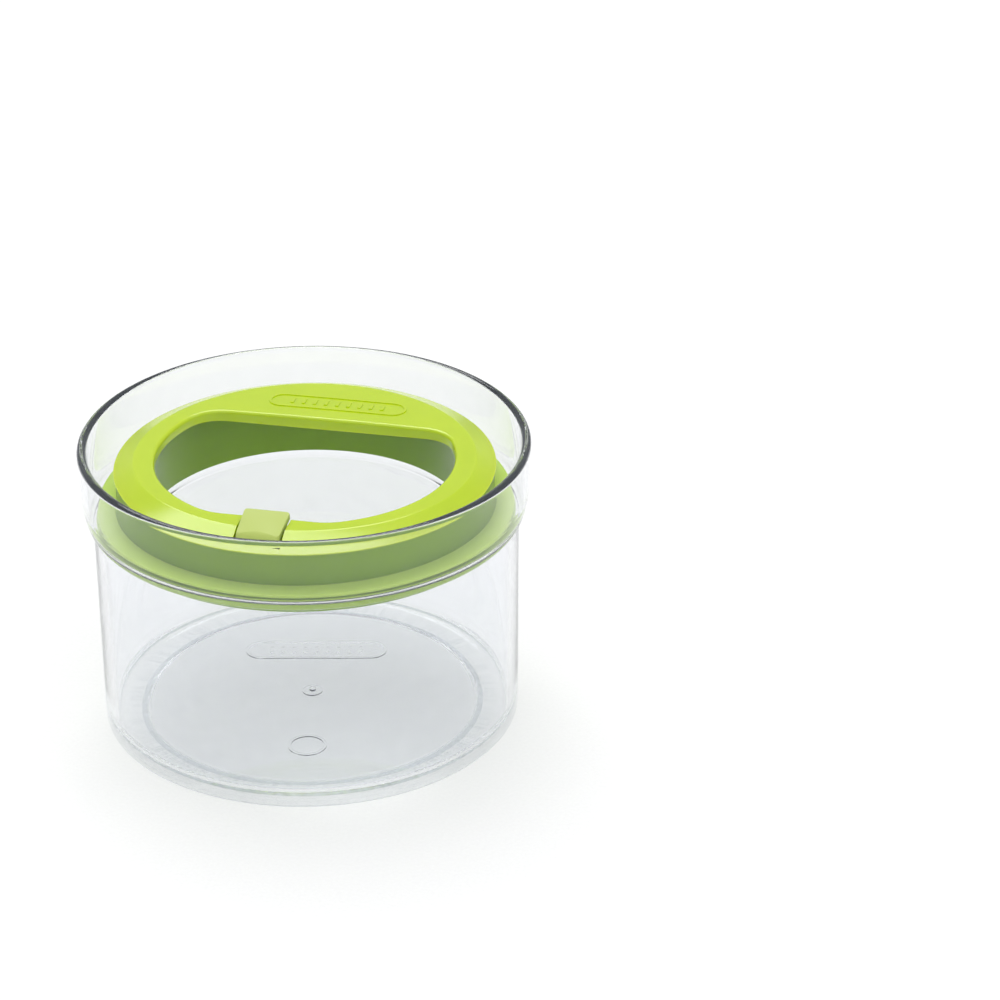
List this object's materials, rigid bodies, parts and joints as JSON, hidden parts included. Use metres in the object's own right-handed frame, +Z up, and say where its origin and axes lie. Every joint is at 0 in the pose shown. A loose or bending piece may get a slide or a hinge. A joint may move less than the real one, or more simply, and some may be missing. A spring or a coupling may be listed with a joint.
{
  "type": "snap lid food container",
  "caption": "Round clear food container with a collar, a lift-out sealing lid with a lime carry ring and finger well, and a flip-up vent tab.",
  "frame": {"origin": "middle of the underside of the foot ring", "axes": "+Z up along the container's axis, -Y towards the vent tab, +Y towards the wide grip plate of the lid ring"},
  "size_m": [0.145, 0.145, 0.0962],
  "materials": {
    "clear_plastic": "clear, polished",
    "green_plastic": "satin",
    "window_plastic": "clear, polished",
    "gasket_rubber": "soft matt",
    "lime_plastic": "satin gloss",
    "tab_plastic": "soft matt",
    "plug_rubber": "soft matt",
    "pin_steel": "ground"
  },
  "bodies": {
    "container": {"container_body": "clear_plastic"},
    "lid": {"lid_shell": "green_plastic", "lid_window": "window_plastic", "lid_gasket": "gasket_rubber", "lid_ring": "lime_plastic", "tab_hinge_pin": "pin_steel"},
    "tab": {"vent_tab": "tab_plastic", "vent_plug": "plug_rubber"}
  },
  "joints": [
    {"name": "lid_lift", "type": "slide", "parent": "container", "child": "lid", "axis": [0, 0, 1], "range_m": [0, 0.1]},
    {"name": "tab_hinge", "type": "hinge", "parent": "lid", "child": "tab", "pos_m": [0, -0.0569, 0.08775], "axis": [1, 0, 0], "range_deg": [-11, 45]}
  ]
}
